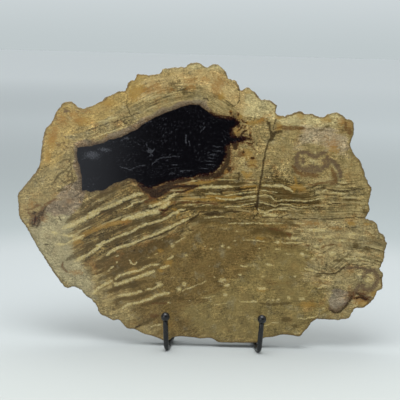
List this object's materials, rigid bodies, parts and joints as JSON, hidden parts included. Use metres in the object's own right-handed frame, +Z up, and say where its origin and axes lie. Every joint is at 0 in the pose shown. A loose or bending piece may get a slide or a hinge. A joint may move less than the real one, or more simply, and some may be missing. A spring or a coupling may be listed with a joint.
{
  "type": "petrified wood slice on a rod easel",
  "caption": "Flat slice of petrified wood with a polished face and a rough natural rim, leaning back on a small black steel rod easel whose front prongs end in balls.",
  "frame": {"origin": "middle of the footprint's box, on the surface that the easel stands on", "axes": "+X across the slice to the right as seen from the front, +Y from the front prongs to the rear leg, +Z up"},
  "size_m": [0.3426, 0.1411, 0.2596],
  "materials": {
    "petrified_wood": "polished face with a black patch, brown and cream growth bands, and a rough bark-like rim",
    "black_steel": "satin black paint"
  },
  "bodies": {
    "root": {"petrified_wood_slice": "petrified_wood", "easel_left_rod": "black_steel", "easel_right_rod": "black_steel", "easel_left_ball": "black_steel", "easel_right_ball": "black_steel", "easel_crossbar": "black_steel", "easel_rear_leg": "black_steel"}
  },
  "joints": []
}
